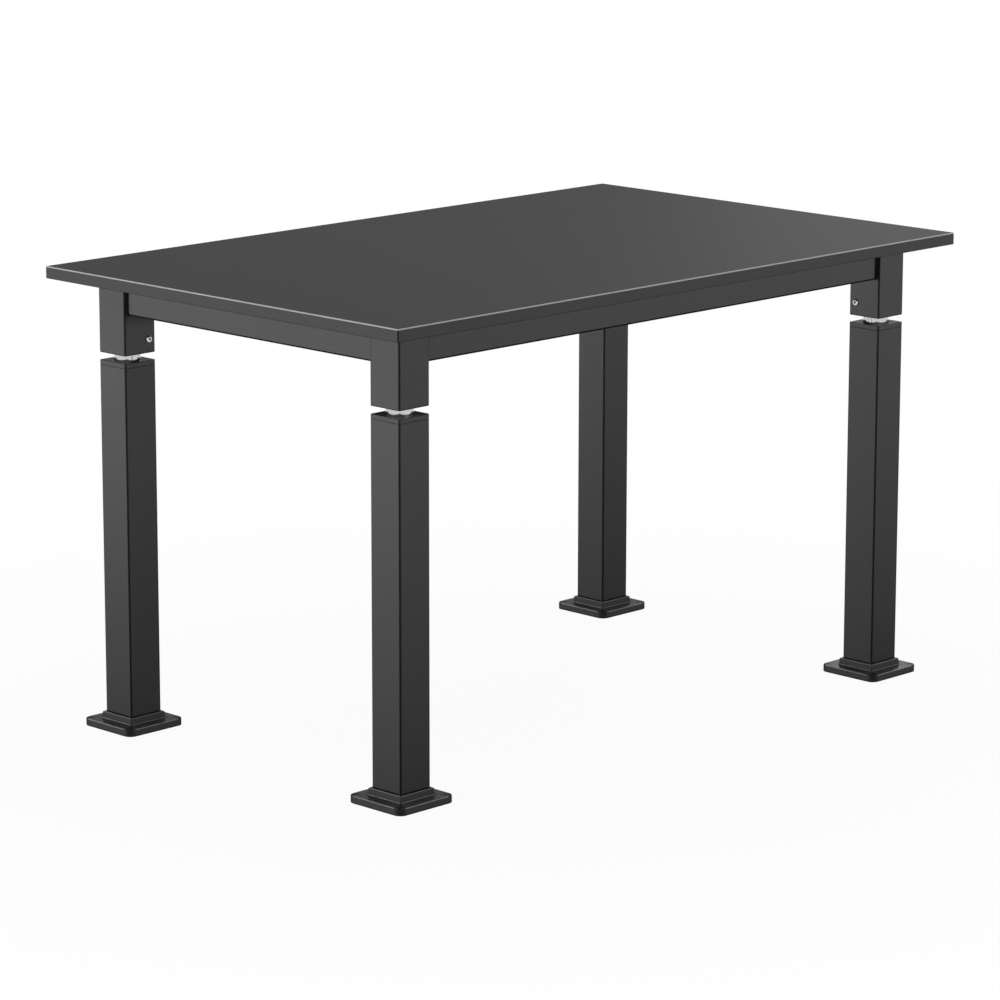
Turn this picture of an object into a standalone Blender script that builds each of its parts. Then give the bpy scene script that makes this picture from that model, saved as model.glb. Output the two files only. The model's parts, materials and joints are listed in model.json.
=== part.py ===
"""Height-adjustable laboratory table, modelled at its lowest position.

A resin work top lies on a frame of apron tubes and leg sockets. A round post hangs from each socket and
slides in a square leg, where a piston rod lifts it. Units are metres, +Z is up, the front faces -Y, and the
origin is on the floor under the middle of the table.
"""

import math

import bmesh
import bpy
from mathutils import Matrix, Vector

# Clearances
SEAT = 0.0003  # between two pieces that rest on each other
FIT = 0.0003  # round a piece that is held in a hole or a tube
GUIDE_FIT = 0.0006  # round the post in the cap that it slides through

# Work top
TOP_LENGTH = 1.219
TOP_WIDTH = 0.762
TOP_THICKNESS = 0.0188
TOP_CORNER = 0.004
TOP_EDGE_ROUND = 0.0028
TOP_UNDER_ROUND = 0.001
TOP_OVERHANG = 0.0555  # past the outer faces of the legs

# Square steel tube of the legs and their sockets
LEG_WIDTH = 0.060
LEG_WALL = 0.0025
LEG_CORNER = 0.003
LEG_TUBE_LENGTH = 0.553
SOCKET_LENGTH = 0.112
COLUMN_GAP = 0.0114  # between socket and leg at the lowest position
LIFT_STROKE = 0.300

# Apron tubes
APRON_HEIGHT = 0.0508
APRON_DEPTH = 0.0254
APRON_WALL = 0.002
APRON_CORNER = 0.002
APRON_SETBACK = 0.008  # behind the outer faces of the legs

# Round guide post, whose bore is the lifting cylinder
POST_BORE = 0.024
POST_WALL = 0.008

# Guide cap on the leg tube
CAP_RIM = 0.0072
CAP_EDGE = 0.0006
CAP_SKIRT = 0.045
CAP_LEAD_IN = 0.0005  # bevel at the top of the cap's bore

# Block that holds the post in its socket
BLOCK_RISE = 0.006  # above the socket's lower edge
BLOCK_LID = 0.010
HEAD_SPACE = 0.032  # between the block and the socket's upper edge
INLET_RADIUS = 0.005
INLET_BORE_RADIUS = 0.002
INLET_HEIGHT = 0.012
LINE_HOLE_RADIUS = 0.0045

# Socket screws
SCREW_EDGE = 0.0137  # from the leg's inner faces to the screw's axis
SCREW_HEIGHT = 0.0216  # above the socket's lower edge
SCREW_RADIUS = 0.003
SCREW_GRIP = 0.006  # in the block
SCREW_HEAD_RADIUS = 0.0053
SCREW_HEAD_HEIGHT = 0.0032
SCREW_CROWN_RADIUS = 0.003  # of the flat on top of the head
SCREW_KEY = 0.004  # across the flats of the hexagon socket
SCREW_KEY_DEPTH = 0.0019

# Sliding shoe on the lower end of the post
GLIDE_HEIGHT = 0.050
GLIDE_FLOOR = 0.012

# Piston rod
ROD_RADIUS = 0.005
ROD_END_RADIUS = 0.004
PISTON_HEIGHT = 0.020
PISTON_LAND = 0.0065  # above and below the groove
PISTON_GROOVE = 0.0015
PISTON_MARGIN = 0.010  # left below the piston at full height

# Foot plug and boot
FOOT_FLANGE = 0.006
FOOT_PLUG_HEIGHT = 0.018
BOOT_FLOOR = 0.004
BOOT_MARGIN = 0.0253  # of the base past the leg's faces
BOOT_BASE = 0.0114
BOOT_BASE_ROUND = 0.0015
BOOT_SOLE_ROUND = 0.0007
BOOT_CORNER = 0.009
BOOT_BEAD_MARGIN = 0.0056
BOOT_BEAD_HEIGHT = 0.0011
BOOT_COLLAR_FOOT = 0.0046  # past the leg's faces, at the bead
BOOT_COLLAR_RIM = 0.0033  # past the leg's faces, at the top
BOOT_COLLAR_HEIGHT = 0.0093
BOOT_COLLAR_ROUND = 0.0007

# Corner plates and the screws that hold the top
PLATE_THICKNESS = 0.003
PLATE_REACH = 0.120  # along each apron, from the socket
PLATE_HOLE_INSET = 0.022  # from the socket's inner faces
TOP_SCREW_RADIUS = 0.0025
TOP_SCREW_COVER = 0.006  # of the top left above the screw's tip
TOP_SCREW_HEAD_RADIUS = 0.0045
TOP_SCREW_HEAD_HEIGHT = 0.0027
TOP_SCREW_CROWN_RADIUS = 0.0024
TOP_SCREW_KEY = 0.003
TOP_SCREW_KEY_DEPTH = 0.0016

# Fineness of the round stretches
CORNER_STEPS = 3
EDGE_STEPS = 2
DOME_STEPS = 3
ROUND_POINTS = 4 * (CORNER_STEPS + 1)  # as many as a rounded square has, so that the two can be joined
POST_POINTS = 32
SCREW_POINTS = 12
SHARP_ANGLE = math.radians(35)
LEAST_CORNER = 0.0003  # of an edge that is all but sharp
CUT_MARGIN = 0.001  # by which a cutter runs past the faces it opens
WELD = 0.000001  # within which the two ends of a tube's surface are one

# Places that follow from the sizes above
LEG_HALF = LEG_WIDTH / 2
TUBE_INSIDE = LEG_HALF - LEG_WALL
PLUG_HALF = TUBE_INSIDE - FIT
PLUG_CORNER = max(LEG_CORNER - LEG_WALL, LEAST_CORNER)
LEG_X = TOP_LENGTH / 2 - TOP_OVERHANG - LEG_HALF
LEG_Y = TOP_WIDTH / 2 - TOP_OVERHANG - LEG_HALF
POST_RADIUS = POST_BORE / 2 + POST_WALL
PISTON_RADIUS = POST_BORE / 2 - FIT
SCREW_OFFSET = LEG_HALF - SCREW_EDGE

FOOT_BOTTOM = BOOT_FLOOR + SEAT
FLANGE_TOP = FOOT_BOTTOM + FOOT_FLANGE
PLUG_TOP = FLANGE_TOP + FOOT_PLUG_HEIGHT
TUBE_BOTTOM = FLANGE_TOP + SEAT
TUBE_TOP = TUBE_BOTTOM + LEG_TUBE_LENGTH
CAP_BOTTOM = TUBE_TOP + SEAT
CAP_TOP = CAP_BOTTOM + CAP_RIM
SOCKET_BOTTOM = CAP_TOP + COLUMN_GAP
SOCKET_TOP = SOCKET_BOTTOM + SOCKET_LENGTH
TOP_UNDERSIDE = SOCKET_TOP + SEAT
TABLE_HEIGHT = TOP_UNDERSIDE + TOP_THICKNESS
GLIDE_BOTTOM = PLUG_TOP + SEAT
POST_BOTTOM = GLIDE_BOTTOM + GLIDE_FLOOR + SEAT
PISTON_BOTTOM = POST_BOTTOM + LIFT_STROKE + PISTON_MARGIN
PISTON_TOP = PISTON_BOTTOM + PISTON_HEIGHT
BLOCK_BOTTOM = SOCKET_BOTTOM + BLOCK_RISE
BLOCK_TOP = SOCKET_TOP - HEAD_SPACE
POST_TOP = BLOCK_TOP - BLOCK_LID - SEAT
SCREW_Z = SOCKET_BOTTOM + SCREW_HEIGHT
LINE_Z = SOCKET_TOP - HEAD_SPACE / 2
PLATE_TOP = TOP_UNDERSIDE - SEAT
PLATE_BOTTOM = PLATE_TOP - PLATE_THICKNESS
PLATE_HOLE = LEG_HALF + PLATE_HOLE_INSET  # from the leg's axis, along X and Y
TOP_SCREW_GRIP = TOP_THICKNESS - TOP_SCREW_COVER

# Each leg's name, and the signs of its place along X and Y
CORNERS = {
    "front_left": (-1, -1),
    "front_right": (1, -1),
    "back_left": (-1, 1),
    "back_right": (1, 1),
}


def paint(name, colour, roughness, metallic):
    """A Principled material of one colour."""
    material = bpy.data.materials.new(name)
    material.use_nodes = True
    shader = material.node_tree.nodes["Principled BSDF"]
    shader.inputs["Base Color"].default_value = (*colour, 1.0)
    shader.inputs["Roughness"].default_value = roughness
    shader.inputs["Metallic"].default_value = metallic
    material.diffuse_color = (*colour, 1.0)
    return material


def rounded(half_x, half_y, corner):
    """Outline of a rectangle with round corners."""
    points = []
    for quarter, (sign_x, sign_y) in enumerate(((1, 1), (-1, 1), (-1, -1), (1, -1))):
        for step in range(CORNER_STEPS + 1):
            angle = math.pi / 2 * (quarter + step / CORNER_STEPS)
            x = sign_x * (half_x - corner) + corner * math.cos(angle)
            y = sign_y * (half_y - corner) + corner * math.sin(angle)
            points.append((x, y))
    return points


def square(half, corner):
    return rounded(half, half, corner)


def circle(radius, count=ROUND_POINTS, phase=0.0):
    """Outline of a circle, turned by a share of the step between its points."""
    angles = [math.tau * (i + phase) / count for i in range(count)]
    return [(radius * math.cos(angle), radius * math.sin(angle)) for angle in angles]


def hexagon(across, count):
    """Outline of a hexagon with points along its sides, as many as the circle it is bridged to."""
    points = []
    for i in range(count):
        angle = math.tau * i / count
        turned = (angle + math.pi / 6) % (math.pi / 3) - math.pi / 6
        radius = across / 2 / math.cos(turned)
        points.append((radius * math.cos(angle), radius * math.sin(angle)))
    return points


def post_outline(extra=0.0):
    """Outline of the post, grown by extra."""
    return circle(POST_RADIUS + extra, POST_POINTS)


def eased(half_x, half_y, corner, low, high, low_round, high_round):
    """Rings of an upright block whose lower and upper edges are rounded."""
    rings = []
    for step in range(EDGE_STEPS + 1):
        angle = math.pi / 2 * step / EDGE_STEPS
        inset = low_round * (1 - math.sin(angle))
        outline = rounded(half_x - inset, half_y - inset, max(corner - inset, LEAST_CORNER))
        rings.append((outline, low + low_round * (1 - math.cos(angle))))
    for step in range(EDGE_STEPS + 1):
        angle = math.pi / 2 * step / EDGE_STEPS
        inset = high_round * (1 - math.cos(angle))
        outline = rounded(half_x - inset, half_y - inset, max(corner - inset, LEAST_CORNER))
        rings.append((outline, high - high_round * (1 - math.sin(angle))))
    return rings


def risen(vert, fresh):
    """The new vertex that an extrusion drew from this one."""
    return next(edge.other_vert(vert) for edge in vert.link_edges if edge.other_vert(vert) in fresh)


def skin(name, rings, material=None, through=False, matrix=None):
    """A solid whose surface is drawn from ring to ring, capped at both ends or closed into a tube.

    A ring is an outline and its height, and all rings of a solid have as many points.
    """
    bm = bmesh.new()
    outline, height = rings[0]
    ring = [bm.verts.new((x, y, height)) for x, y in outline]
    edges = [bm.edges.new((ring[i - 1], ring[i])) for i in range(len(ring))]
    if not through:
        bm.faces.new(ring)
    for outline, height in rings[1:] + rings[:1] * through:
        drawn = bmesh.ops.extrude_edge_only(bm, edges=edges)["geom"]
        fresh = {item for item in drawn if isinstance(item, bmesh.types.BMVert)}
        sides = [item for item in drawn if isinstance(item, bmesh.types.BMEdge)]
        edges = [edge for edge in sides if fresh.issuperset(edge.verts)]
        ring = [risen(vert, fresh) for vert in ring]
        for vert, (x, y) in zip(ring, outline):
            vert.co = (x, y, height)
    if through:
        bmesh.ops.remove_doubles(bm, verts=bm.verts[:], dist=WELD)
    else:
        bm.faces.new(ring)
    bmesh.ops.recalc_face_normals(bm, faces=bm.faces[:])
    if matrix is not None:
        bmesh.ops.transform(bm, matrix=matrix, verts=bm.verts[:])
    mesh = bpy.data.meshes.new(name)
    bm.to_mesh(mesh)
    bm.free()
    mesh.shade_smooth()
    mesh.set_sharp_from_angle(angle=SHARP_ANGLE)
    if material:
        mesh.materials.append(material)
    obj = bpy.data.objects.new(name, mesh)
    bpy.context.scene.collection.objects.link(obj)
    return obj


def prism(outline, low, high):
    """A cutter of one outline."""
    return skin("cutter", [(outline, low), (outline, high)])


def drill(radius, start, end):
    """A round cutter between two points."""
    run = Vector(end) - Vector(start)
    turn = Vector((0, 0, 1)).rotation_difference(run).to_matrix().to_4x4()
    rings = [(circle(radius), 0.0), (circle(radius), run.length)]
    return skin("cutter", rings, matrix=Matrix.Translation(start) @ turn)


def cut(target, cutters):
    """Takes the cutters out of the target, and removes them."""
    for cutter in cutters:
        cutter.hide_render = True
        cutter.display_type = "WIRE"
        modifier = target.modifiers.new("cut", "BOOLEAN")
        modifier.operation = "DIFFERENCE"
        modifier.solver = "EXACT"
        modifier.object = cutter
    graph = bpy.context.evaluated_depsgraph_get()
    mesh = bpy.data.meshes.new_from_object(target.evaluated_get(graph))
    target.modifiers.clear()
    target.data = mesh
    mesh.set_sharp_from_angle(angle=SHARP_ANGLE)
    for cutter in cutters:
        bpy.data.objects.remove(cutter)
    return target


def tube(name, half_x, half_y, corner, wall, low, high, material):
    """An upright rectangular tube, open at both ends."""
    outer = rounded(half_x, half_y, corner)
    inner = rounded(half_x - wall, half_y - wall, max(corner - wall, LEAST_CORNER))
    rings = [(outer, low), (outer, high), (inner, high), (inner, low)]
    return skin(name, rings, material, through=True)


def button_screw(name, radius, reach, head, material):
    """A button-head screw along Z, with the underside of its head at zero and its shank below.

    The head is its radius, its height, the radius of its crown, and its key's width and depth.
    """
    head_radius, head_height, crown_radius, key, key_depth = head
    shank = circle(radius, SCREW_POINTS)
    rings = [(shank, -reach), (shank, 0.0)]
    for step in range(DOME_STEPS + 1):
        angle = math.pi / 2 * step / DOME_STEPS
        dome_radius = crown_radius + (head_radius - crown_radius) * math.cos(angle)
        rings.append((circle(dome_radius, SCREW_POINTS), head_height * math.sin(angle)))
    socket = hexagon(key, SCREW_POINTS)
    rings += [(socket, head_height), (socket, head_height - key_depth)]
    return skin(name, rings, material)


def place(obj, parent, location=(0, 0, 0), rotation=(0, 0, 0)):
    obj.parent = parent
    obj.location = location
    obj.rotation_euler = rotation
    return obj


def empty(name, location):
    """A helper that pieces are parented to."""
    obj = bpy.data.objects.new(name, None)
    obj.location = location
    bpy.context.scene.collection.objects.link(obj)
    return obj


def work_top(frame, material):
    half_x = TOP_LENGTH / 2
    half_y = TOP_WIDTH / 2
    rings = eased(half_x, half_y, TOP_CORNER, TOP_UNDERSIDE, TABLE_HEIGHT, TOP_UNDER_ROUND, TOP_EDGE_ROUND)
    holes = []
    for sign_x, sign_y in CORNERS.values():
        x = sign_x * (LEG_X - PLATE_HOLE)
        y = sign_y * (LEG_Y - PLATE_HOLE)
        start = (x, y, TOP_UNDERSIDE - CUT_MARGIN)
        holes.append(drill(TOP_SCREW_RADIUS + FIT, start, (x, y, TOP_UNDERSIDE + TOP_SCREW_GRIP + SEAT)))
    place(cut(skin("work_top", rings, material), holes), frame)


def aprons(frame, material):
    """Four tubes between the sockets, made along Z and then laid down."""
    half_height = APRON_HEIGHT / 2
    half_depth = APRON_DEPTH / 2
    inset = LEG_HALF - APRON_SETBACK - half_depth
    z = TOP_UNDERSIDE - SEAT - half_height
    half_x = LEG_X - LEG_HALF - SEAT
    half_y = LEG_Y - LEG_HALF - SEAT
    for name, sign in (("apron_front", -1), ("apron_back", 1)):
        apron = tube(name, half_height, half_depth, APRON_CORNER, APRON_WALL, -half_x, half_x, material)
        place(apron, frame, (0, sign * (LEG_Y + inset), z), (0, math.pi / 2, 0))
    for name, sign in (("apron_left", -1), ("apron_right", 1)):
        apron = tube(name, half_depth, half_height, APRON_CORNER, APRON_WALL, -half_y, half_y, material)
        place(apron, frame, (sign * (LEG_X + inset), 0, z), (math.pi / 2, 0, 0))


def leg_socket(corner, inward_x, inward_y, frame, at, material):
    """The short square tube under the top, with holes for its screws and for the pressure line."""
    name = f"leg_socket_{corner}"
    socket = tube(name, LEG_HALF, LEG_HALF, LEG_CORNER, LEG_WALL, SOCKET_BOTTOM, SOCKET_TOP, material)
    across = inward_y * SCREW_OFFSET
    along = inward_x * SCREW_OFFSET
    out_x = inward_x * (LEG_HALF + CUT_MARGIN)
    out_y = inward_y * (LEG_HALF + CUT_MARGIN)
    in_x = inward_x * (TUBE_INSIDE - CUT_MARGIN)
    in_y = inward_y * (TUBE_INSIDE - CUT_MARGIN)
    holes = [
        drill(SCREW_RADIUS + FIT, (out_x, across, SCREW_Z), (in_x, across, SCREW_Z)),
        drill(SCREW_RADIUS + FIT, (along, out_y, SCREW_Z), (along, in_y, SCREW_Z)),
        drill(LINE_HOLE_RADIUS, (out_x, across, LINE_Z), (in_x, across, LINE_Z)),
    ]
    place(cut(socket, holes), frame, at)


def post_block(corner, inward_x, inward_y, frame, at, material):
    """The block in the socket: a pocket for the post, tapped holes for the screws and an inlet on top."""
    outline = square(PLUG_HALF, PLUG_CORNER)
    inlet = circle(INLET_RADIUS, phase=0.5)
    inlet_top = BLOCK_TOP + INLET_HEIGHT
    rings = [(outline, BLOCK_BOTTOM), (outline, BLOCK_TOP), (inlet, BLOCK_TOP), (inlet, inlet_top)]
    across = inward_y * SCREW_OFFSET
    along = inward_x * SCREW_OFFSET
    floor = PLUG_HALF - SCREW_GRIP - SEAT
    out_x = inward_x * (PLUG_HALF + CUT_MARGIN)
    out_y = inward_y * (PLUG_HALF + CUT_MARGIN)
    holes = [
        prism(post_outline(FIT), BLOCK_BOTTOM - CUT_MARGIN, POST_TOP + SEAT),
        drill(INLET_BORE_RADIUS, (0, 0, POST_TOP), (0, 0, inlet_top + CUT_MARGIN)),
        drill(SCREW_RADIUS + FIT, (out_x, across, SCREW_Z), (inward_x * floor, across, SCREW_Z)),
        drill(SCREW_RADIUS + FIT, (along, out_y, SCREW_Z), (along, inward_y * floor, SCREW_Z)),
    ]
    place(cut(skin(f"post_block_{corner}", rings, material), holes), frame, at)


def socket_screws(corner, inward_x, inward_y, frame, at, material):
    """A screw through each inner face of the socket."""
    reach = SEAT + LEG_WALL + FIT + SCREW_GRIP
    face = LEG_HALF + SEAT
    head = (SCREW_HEAD_RADIUS, SCREW_HEAD_HEIGHT, SCREW_CROWN_RADIUS, SCREW_KEY, SCREW_KEY_DEPTH)
    screw = button_screw(f"socket_screw_x_{corner}", SCREW_RADIUS, reach, head, material)
    spot = (at[0] + inward_x * face, at[1] + inward_y * SCREW_OFFSET, SCREW_Z)
    place(screw, frame, spot, (0, inward_x * math.pi / 2, 0))
    screw = button_screw(f"socket_screw_y_{corner}", SCREW_RADIUS, reach, head, material)
    spot = (at[0] + inward_x * SCREW_OFFSET, at[1] + inward_y * face, SCREW_Z)
    place(screw, frame, spot, (-inward_y * math.pi / 2, 0, 0))


def guide_post(corner, frame, at, material):
    """The round post, bored as a cylinder."""
    outside = post_outline()
    bore = circle(POST_BORE / 2, POST_POINTS)
    rings = [(outside, POST_BOTTOM), (outside, POST_TOP), (bore, POST_TOP), (bore, POST_BOTTOM)]
    place(skin(f"guide_post_{corner}", rings, material, through=True), frame, at)


def post_glide(corner, frame, at, material):
    """The shoe that holds the post's lower end and slides in the leg."""
    top = GLIDE_BOTTOM + GLIDE_HEIGHT
    outline = square(PLUG_HALF, PLUG_CORNER)
    glide = skin(f"post_glide_{corner}", [(outline, GLIDE_BOTTOM), (outline, top)], material)
    floor = GLIDE_BOTTOM + GLIDE_FLOOR
    holes = [
        prism(post_outline(FIT), floor, top + CUT_MARGIN),
        drill(ROD_RADIUS + FIT, (0, 0, GLIDE_BOTTOM - CUT_MARGIN), (0, 0, floor + CUT_MARGIN)),
    ]
    place(cut(glide, holes), frame, at)


def corner_plate(corner, inward_x, inward_y, frame, at, material):
    """The gusset in the corner between the two aprons, round the socket."""
    face = LEG_HALF + SEAT
    edge = APRON_SETBACK + APRON_DEPTH - LEG_HALF + SEAT
    tip = LEG_HALF + PLATE_REACH
    corners = [(face, edge), (tip, edge), (edge, tip), (edge, face), (face, face)]
    outline = [(inward_x * x, inward_y * y) for x, y in corners]
    plate = skin(f"corner_plate_{corner}", [(outline, PLATE_BOTTOM), (outline, PLATE_TOP)], material)
    x = inward_x * PLATE_HOLE
    y = inward_y * PLATE_HOLE
    hole = drill(TOP_SCREW_RADIUS + FIT, (x, y, PLATE_BOTTOM - CUT_MARGIN), (x, y, PLATE_TOP + CUT_MARGIN))
    place(cut(plate, [hole]), frame, at)


def top_screw(corner, inward_x, inward_y, frame, at, material):
    """The screw from below, through the corner plate into the top."""
    reach = SEAT + PLATE_THICKNESS + SEAT + TOP_SCREW_GRIP
    head = (
        TOP_SCREW_HEAD_RADIUS,
        TOP_SCREW_HEAD_HEIGHT,
        TOP_SCREW_CROWN_RADIUS,
        TOP_SCREW_KEY,
        TOP_SCREW_KEY_DEPTH,
    )
    screw = button_screw(f"top_screw_{corner}", TOP_SCREW_RADIUS, reach, head, material)
    spot = (at[0] + inward_x * PLATE_HOLE, at[1] + inward_y * PLATE_HOLE, PLATE_BOTTOM - SEAT)
    place(screw, frame, spot, (math.pi, 0, 0))


def leg_tube(corner, leg, material):
    name = f"leg_tube_{corner}"
    place(tube(name, LEG_HALF, LEG_HALF, LEG_CORNER, LEG_WALL, TUBE_BOTTOM, TUBE_TOP, material), leg)


def guide_cap(corner, leg, material):
    """The cap that closes the leg round the post, flush with the tube, with a skirt inside it."""
    bottom = CAP_BOTTOM - CAP_SKIRT
    skirt = square(PLUG_HALF, PLUG_CORNER)
    rim = square(LEG_HALF, LEG_CORNER)
    eased_rim = square(LEG_HALF - CAP_EDGE, LEG_CORNER - CAP_EDGE)
    rings = [
        (skirt, bottom),
        (skirt, CAP_BOTTOM),
        (rim, CAP_BOTTOM),
        (rim, CAP_TOP - CAP_EDGE),
        (eased_rim, CAP_TOP),
    ]
    bore = post_outline(GUIDE_FIT)
    mouth = post_outline(GUIDE_FIT + CAP_LEAD_IN + CUT_MARGIN)
    bore_rings = [(bore, bottom - CUT_MARGIN), (bore, CAP_TOP - CAP_LEAD_IN), (mouth, CAP_TOP + CUT_MARGIN)]
    cap = skin(f"guide_cap_{corner}", rings, material)
    place(cut(cap, [skin("cutter", bore_rings)]), leg)


def lift_rod(corner, leg, material):
    """The piston rod, standing in the foot plug, with its grooved piston in the post's bore."""
    groove_low = PISTON_BOTTOM + PISTON_LAND
    groove_high = PISTON_TOP - PISTON_LAND
    rings = [
        (circle(ROD_END_RADIUS), FLANGE_TOP + SEAT),
        (circle(ROD_END_RADIUS), PLUG_TOP + SEAT),
        (circle(ROD_RADIUS), PLUG_TOP + SEAT),
        (circle(ROD_RADIUS), PISTON_BOTTOM),
        (circle(PISTON_RADIUS), PISTON_BOTTOM),
        (circle(PISTON_RADIUS), groove_low),
        (circle(PISTON_RADIUS - PISTON_GROOVE), groove_low),
        (circle(PISTON_RADIUS - PISTON_GROOVE), groove_high),
        (circle(PISTON_RADIUS), groove_high),
        (circle(PISTON_RADIUS), PISTON_TOP),
    ]
    place(skin(f"lift_rod_{corner}", rings, material), leg)


def foot_plug(corner, leg, material):
    """The plug under the leg tube: a flange, a plug inside the tube and a blind hole for the rod."""
    flange = square(LEG_HALF, LEG_CORNER)
    plug = square(PLUG_HALF, PLUG_CORNER)
    hole = circle(ROD_END_RADIUS + FIT, phase=0.5)
    rings = [
        (flange, FOOT_BOTTOM),
        (flange, FLANGE_TOP),
        (plug, FLANGE_TOP),
        (plug, PLUG_TOP),
        (hole, PLUG_TOP),
        (hole, FLANGE_TOP),
    ]
    place(skin(f"foot_plug_{corner}", rings, material), leg)


def boot(corner, leg, material):
    """The shoe on the floor: a square base, a bead and a tapered collar round a pocket for the leg."""
    base = LEG_HALF + BOOT_MARGIN
    bead = LEG_HALF + BOOT_BEAD_MARGIN
    foot = LEG_HALF + BOOT_COLLAR_FOOT
    rim = LEG_HALF + BOOT_COLLAR_RIM
    pocket = square(LEG_HALF + FIT, LEG_CORNER + FIT)
    bead_corner = LEG_CORNER + BOOT_BEAD_MARGIN
    foot_corner = LEG_CORNER + BOOT_COLLAR_FOOT
    rim_corner = LEG_CORNER + BOOT_COLLAR_RIM
    bead_top = BOOT_BASE + BOOT_BEAD_HEIGHT
    collar_top = bead_top + BOOT_COLLAR_HEIGHT
    rings = eased(base, base, BOOT_CORNER, 0.0, BOOT_BASE, BOOT_SOLE_ROUND, BOOT_BASE_ROUND)
    rings += [
        (square(bead, bead_corner), BOOT_BASE),
        (square(bead, bead_corner), bead_top),
        (square(foot, foot_corner), bead_top),
        (square(rim, rim_corner), collar_top - BOOT_COLLAR_ROUND),
        (square(rim - BOOT_COLLAR_ROUND, rim_corner - BOOT_COLLAR_ROUND), collar_top),
        (pocket, collar_top),
        (pocket, BOOT_FLOOR),
    ]
    place(skin(f"boot_{corner}", rings, material), leg)


def main():
    for obj in list(bpy.data.objects):
        bpy.data.objects.remove(obj)
    resin = paint("resin_top", (0.075, 0.075, 0.078), 0.42, 0.0)
    coating = paint("powder_coat", (0.060, 0.060, 0.062), 0.48, 0.0)
    moulding = paint("moulded_plastic", (0.045, 0.045, 0.046), 0.45, 0.0)
    drawn = paint("aluminium_post", (0.80, 0.80, 0.81), 0.12, 1.0)
    casting = paint("cast_block", (0.55, 0.55, 0.56), 0.50, 1.0)
    zinc = paint("bright_screw", (0.72, 0.74, 0.75), 0.25, 1.0)
    acetal = paint("glide_plastic", (0.70, 0.69, 0.64), 0.40, 0.0)
    chrome = paint("chromed_rod", (0.78, 0.78, 0.79), 0.12, 1.0)
    steel = paint("foot_steel", (0.30, 0.30, 0.31), 0.45, 1.0)

    frame = empty("table_frame", (0, 0, 0))
    work_top(frame, resin)
    aprons(frame, coating)
    for corner, (sign_x, sign_y) in CORNERS.items():
        at = (sign_x * LEG_X, sign_y * LEG_Y, 0)
        inward = (-sign_x, -sign_y)
        leg_socket(corner, *inward, frame, at, coating)
        post_block(corner, *inward, frame, at, casting)
        socket_screws(corner, *inward, frame, at, zinc)
        guide_post(corner, frame, at, drawn)
        post_glide(corner, frame, at, acetal)
        corner_plate(corner, *inward, frame, at, coating)
        top_screw(corner, *inward, frame, at, zinc)
        leg = empty(f"leg_axis_{corner}", at)
        leg_tube(corner, leg, coating)
        guide_cap(corner, leg, moulding)
        lift_rod(corner, leg, chrome)
        foot_plug(corner, leg, steel)
        boot(corner, leg, moulding)


main()
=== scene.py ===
"""Looks of a height-adjustable laboratory table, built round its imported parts.

Units are metres in the table's own frame: +Z is up and the front faces -Y. Each fine piece stands for one
part, takes its place from that part's box, and rides on that part's body.
"""

import json
import math
from functools import partial

import bmesh
import bpy
from mathutils import Matrix, Vector


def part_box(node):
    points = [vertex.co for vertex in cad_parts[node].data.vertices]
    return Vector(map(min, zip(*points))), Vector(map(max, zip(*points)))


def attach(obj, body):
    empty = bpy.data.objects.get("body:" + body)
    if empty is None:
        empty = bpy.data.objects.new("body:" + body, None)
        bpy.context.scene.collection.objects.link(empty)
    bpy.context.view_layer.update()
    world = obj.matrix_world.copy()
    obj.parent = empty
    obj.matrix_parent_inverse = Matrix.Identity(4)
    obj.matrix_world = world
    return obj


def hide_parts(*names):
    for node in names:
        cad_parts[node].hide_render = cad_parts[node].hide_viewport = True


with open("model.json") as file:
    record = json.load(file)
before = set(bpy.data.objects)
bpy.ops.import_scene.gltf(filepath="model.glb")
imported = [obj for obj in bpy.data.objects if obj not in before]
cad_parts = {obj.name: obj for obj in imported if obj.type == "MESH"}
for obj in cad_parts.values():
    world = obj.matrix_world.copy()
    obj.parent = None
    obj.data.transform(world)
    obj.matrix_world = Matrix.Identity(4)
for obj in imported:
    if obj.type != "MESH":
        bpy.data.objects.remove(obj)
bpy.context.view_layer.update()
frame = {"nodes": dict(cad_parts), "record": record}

RECORD = frame["record"]
SLOT_OF = {part["node"]: part["material_slot"] for part in RECORD["subparts"]}
BODY_OF = {node: body for body, nodes in RECORD["behaviour"]["bodies"].items() for node in nodes}

# Each leg's name, and the signs of its place along X and Y
CORNERS = {
    "front_left": (-1, -1),
    "front_right": (1, -1),
    "back_left": (-1, 1),
    "back_right": (1, 1),
}

# Sizes that the parts' boxes don't tell
FIT = 0.0003
GUIDE_FIT = 0.0006
TOP_CORNER = 0.002
TOP_EDGE_ROUND = 0.0019
TOP_UNDER_ROUND = 0.001
TOP_SCREW_RADIUS = 0.0025
TOP_SCREW_GRIP = 0.0128
TOP_SCREW_HEAD_RADIUS = 0.0045
TOP_SCREW_HEAD_HEIGHT = 0.0027
TOP_SCREW_CROWN_RADIUS = 0.0024
TOP_SCREW_KEY = 0.003
TOP_SCREW_KEY_DEPTH = 0.0016
PLATE_CORNER = 0.003
PLATE_EDGE = 0.0005
LEG_WALL = 0.0025
LEG_CORNER = 0.003
TUBE_EDGE = 0.0011
TUBE_RIM = 0.0005
APRON_WALL = 0.002
APRON_CORNER = 0.0035
APRON_SHADE_SHARE = 0.9
POST_BORE = 0.024
POST_EDGE = 0.0008
CAP_EDGE = 0.0007
CAP_RIM = 0.0072
CAP_LIP = 0.0005
BLOCK_LID = 0.010
BLOCK_EDGE = 0.001
INLET_RADIUS = 0.005
INLET_BORE_RADIUS = 0.002
INLET_HEIGHT = 0.012
INLET_HOLE_RADIUS = 0.0045
INLET_HOLE_DROP = 0.016
SCREW_GRIP = 0.006
SCREW_RADIUS = 0.003
SCREW_HEAD_RADIUS = 0.0053
SCREW_HEAD_HEIGHT = 0.0032
SCREW_CROWN_RADIUS = 0.003
SCREW_KEY = 0.004
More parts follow.
